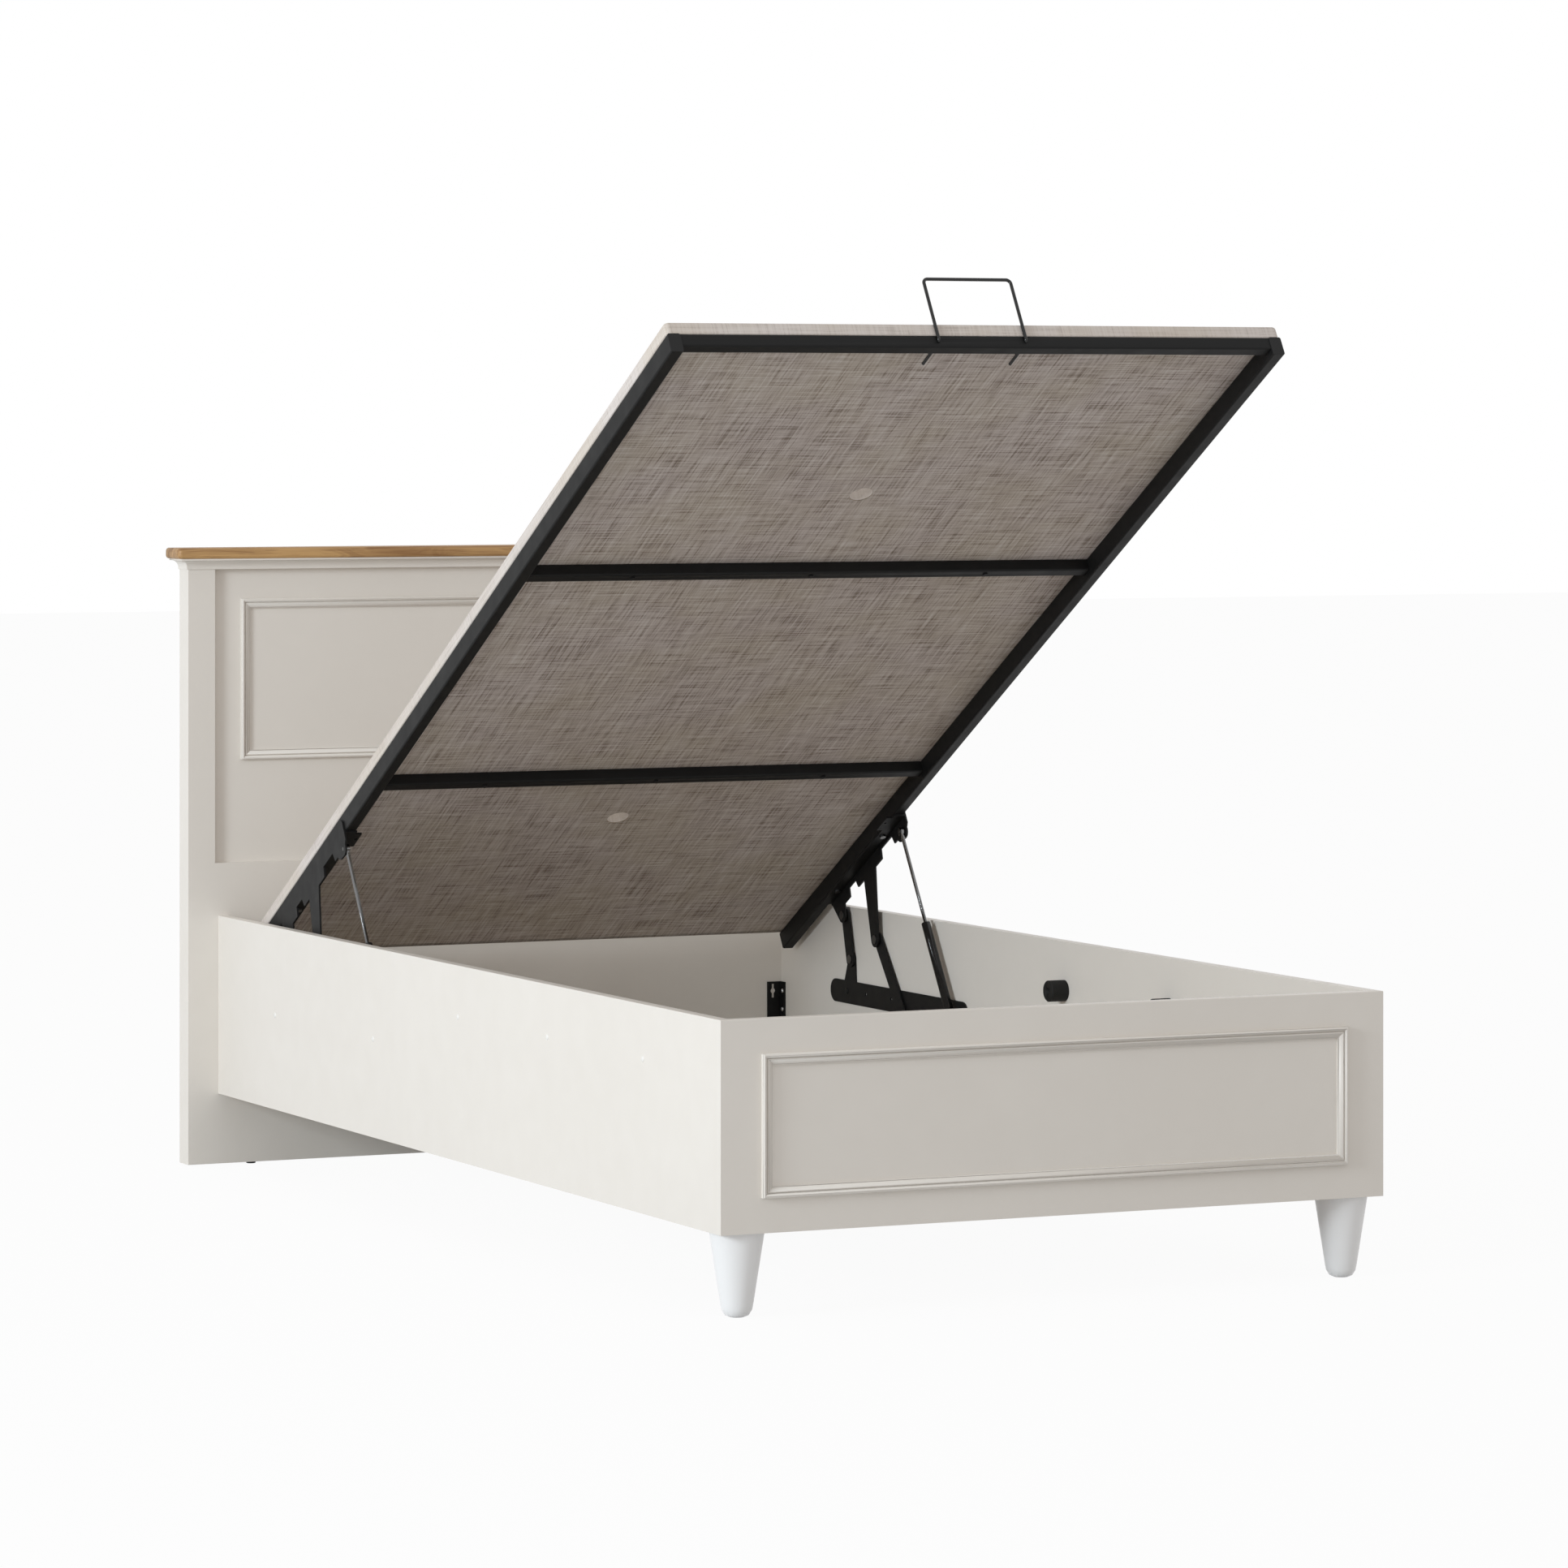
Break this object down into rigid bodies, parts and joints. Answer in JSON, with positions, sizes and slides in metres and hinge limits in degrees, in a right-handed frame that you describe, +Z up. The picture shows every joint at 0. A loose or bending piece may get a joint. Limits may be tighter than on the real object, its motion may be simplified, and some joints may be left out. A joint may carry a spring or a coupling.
{
  "type": "storage bed",
  "caption": "Single storage bed with a painted box, a panelled headboard capped with oak, and an upholstered platform that lifts on links and gas struts.",
  "frame": {"origin": "on the floor, in the middle of the bed's footprint", "axes": "+X toward the bed's right side seen from the foot end, +Y from the foot board toward the headboard, +Z up"},
  "size_m": [1.214, 2.078, 1.4552],
  "materials": {
    "cream_paint": "smooth satin cream paint on board",
    "oak": "clear matt oil on oak",
    "foot_paint": "satin white paint on turned wood",
    "cream_plastic": "moulded cover caps",
    "black_plastic": "moulded plastic",
    "black_rubber": "moulded rubber",
    "bare_wood": "unpainted timber and board",
    "floor_board": "thin floor board",
    "cover_cloth": "coarse woven linen look",
    "lining_cloth": "woven underside cloth",
    "black_steel": "black powder coat",
    "zinc_steel": "zinc plated",
    "pin_steel": "dark plated steel",
    "bright_rod": "polished rod",
    "black_cylinder": "gloss black paint"
  },
  "bodies": {
    "bed_box": {"left_rail": "cream_paint", "right_rail": "cream_paint", "foot_board": "cream_paint", "foot_board_moulding": "cream_paint", "headboard_post_left": "cream_paint", "headboard_post_right": "cream_paint", "headboard_lower_board": "cream_paint", "headboard_upper_panel": "cream_paint", "headboard_back_rails": "cream_paint", "headboard_panel_moulding": "cream_paint", "headboard_cornice": "cream_paint", "headboard_oak_top": "oak", "headboard_glides": "black_plastic", "front_foot_left": "foot_paint", "front_foot_right": "foot_paint", "foot_mounting_plates": "zinc_steel", "foot_corner_blocks": "bare_wood", "foot_studs": "zinc_steel", "floor_cleats": "bare_wood", "floor_bearer": "bare_wood", "floor_panel_foot": "floor_board", "floor_panel_head": "floor_board", "head_corner_bracket_left": "zinc_steel", "head_corner_bracket_right": "zinc_steel", "foot_corner_brackets": "zinc_steel", "bracket_screws": "zinc_steel", "rail_screw_caps": "cream_plastic", "lid_buffers": "black_rubber", "buffer_screws": "zinc_steel", "lift_base_plate_left": "black_steel", "lift_base_plate_right": "black_steel", "base_plate_bolts": "zinc_steel", "base_pivot_pins_left": "pin_steel", "base_pivot_pins_right": "pin_steel", "strut_base_studs": "pin_steel"},
    "lid": {"lid_side_tube_left": "black_steel", "lid_side_tube_right": "black_steel", "tube_end_plugs": "black_plastic", "lid_foot_member": "black_steel", "lid_cross_members": "black_steel", "platform_board": "bare_wood", "platform_cover": "cover_cloth", "platform_lining": "lining_cloth", "platform_screws": "zinc_steel", "mattress_retainer": "black_steel", "lift_bracket_left": "black_steel", "lift_bracket_right": "black_steel", "bracket_pins_left": "pin_steel", "bracket_pins_right": "pin_steel"},
    "rear_link_left": {"rear_link_left": "black_steel"},
    "rear_link_right": {"rear_link_right": "black_steel"},
    "front_link_left": {"front_link_left": "black_steel"},
    "front_link_right": {"front_link_right": "black_steel"},
    "strut_rod_left": {"strut_rod_left": "bright_rod"},
    "strut_rod_right": {"strut_rod_right": "bright_rod"},
    "strut_tube_left": {"strut_tube_left": "black_cylinder"},
    "strut_tube_right": {"strut_tube_right": "black_cylinder"}
  },
  "joints": [
    {"name": "rear_link_left_hinge", "type": "hinge", "parent": "bed_box", "child": "rear_link_left", "pos_m": [-0.50625, 0.707, 0.33], "axis": [1, 0, 0], "range_deg": [-83.38, 0]},
    {"name": "lid_hinge", "type": "hinge", "parent": "rear_link_left", "child": "lid", "pos_m": [-0.50625, 0.72631, 0.40361], "axis": [1, 0, 0], "range_deg": [0, 113.88]},
    {"name": "rear_link_right_hinge", "type": "hinge", "parent": "bed_box", "child": "rear_link_right", "pos_m": [0.50625, 0.707, 0.33], "axis": [1, 0, 0], "range_deg": [-83.39, 0]},
    {"name": "front_link_left_hinge", "type": "hinge", "parent": "bed_box", "child": "front_link_left", "pos_m": [-0.50625, 0.443, 0.175], "axis": [1, 0, 0], "range_deg": [-39.49, 0]},
    {"name": "front_link_right_hinge", "type": "hinge", "parent": "bed_box", "child": "front_link_right", "pos_m": [0.50625, 0.443, 0.175], "axis": [1, 0, 0], "range_deg": [-39.49, 0]},
    {"name": "strut_left_hinge", "type": "hinge", "parent": "lid", "child": "strut_rod_left", "pos_m": [-0.495, 0.48897, 0.56024], "axis": [1, 0, 0], "range_deg": [-64.47, 0]},
    {"name": "strut_left_slide", "type": "slide", "parent": "strut_rod_left", "child": "strut_tube_left", "axis": [0, 0.5333, 0.8459], "range_m": [0, 0.14045]},
    {"name": "strut_right_hinge", "type": "hinge", "parent": "lid", "child": "strut_rod_right", "pos_m": [0.495, 0.48897, 0.56024], "axis": [1, 0, 0], "range_deg": [-64.47, 0]},
    {"name": "strut_right_slide", "type": "slide", "parent": "strut_rod_right", "child": "strut_tube_right", "axis": [0, 0.5333, 0.8459], "range_m": [0, 0.14045]}
  ],
  "couplings": [
    {"joint": "lid_hinge", "follows": "rear_link_left_hinge", "ratio": -1.3658},
    {"joint": "rear_link_right_hinge", "follows": "rear_link_left_hinge", "ratio": 1},
    {"joint": "front_link_left_hinge", "follows": "rear_link_left_hinge", "ratio": 0.47356},
    {"joint": "front_link_right_hinge", "follows": "rear_link_left_hinge", "ratio": 0.47356},
    {"joint": "strut_left_hinge", "follows": "rear_link_left_hinge", "ratio": 0.77316},
    {"joint": "strut_left_slide", "follows": "rear_link_left_hinge", "m_per_rad": -0.096501},
    {"joint": "strut_right_hinge", "follows": "rear_link_left_hinge", "ratio": 0.77316},
    {"joint": "strut_right_slide", "follows": "rear_link_left_hinge", "m_per_rad": -0.096501}
  ]
}
